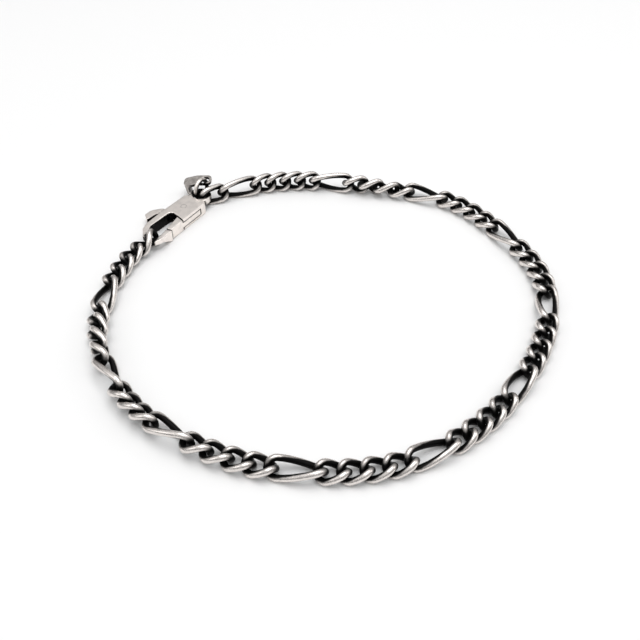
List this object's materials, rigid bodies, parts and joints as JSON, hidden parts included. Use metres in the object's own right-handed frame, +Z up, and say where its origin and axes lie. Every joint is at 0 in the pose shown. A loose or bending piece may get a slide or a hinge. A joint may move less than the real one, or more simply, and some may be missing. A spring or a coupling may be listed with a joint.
{
  "type": "link bracelet",
  "caption": "Closed wrist chain of twisted short and long links with a flat lobster clasp, a sprung lever and a small tag on a jump ring.",
  "frame": {"origin": "centre of the loop's box, on the table it lies on", "axes": "+Z up from the table, +X across the loop's longer width, -Y towards the viewer of the picture; the clasp is on the -X side towards +Y"},
  "size_m": [0.0708, 0.0656, 0.0041],
  "materials": {
    "oxidised_silver": "silver, blackened in the hollows and polished on the high points",
    "satin_silver": "satin silver"
  },
  "bodies": {
    "bracelet": {"clasp_body": "satin_silver", "clasp_pin": "satin_silver", "chain_hook_half": "oxidised_silver", "chain_eye_half": "oxidised_silver", "hook_link": "oxidised_silver", "end_link": "oxidised_silver", "tag_ring": "satin_silver", "tag": "satin_silver"},
    "lever": {"clasp_gate": "satin_silver"}
  },
  "joints": [
    {"name": "gate_hinge", "type": "hinge", "parent": "bracelet", "child": "lever", "pos_m": [-0.02446, 0.02335, 0.00105], "axis": [0, 0, -1], "range_deg": [0, 15], "stiffness_Nm_per_rad": 0.002, "springref_deg": -17.19}
  ]
}
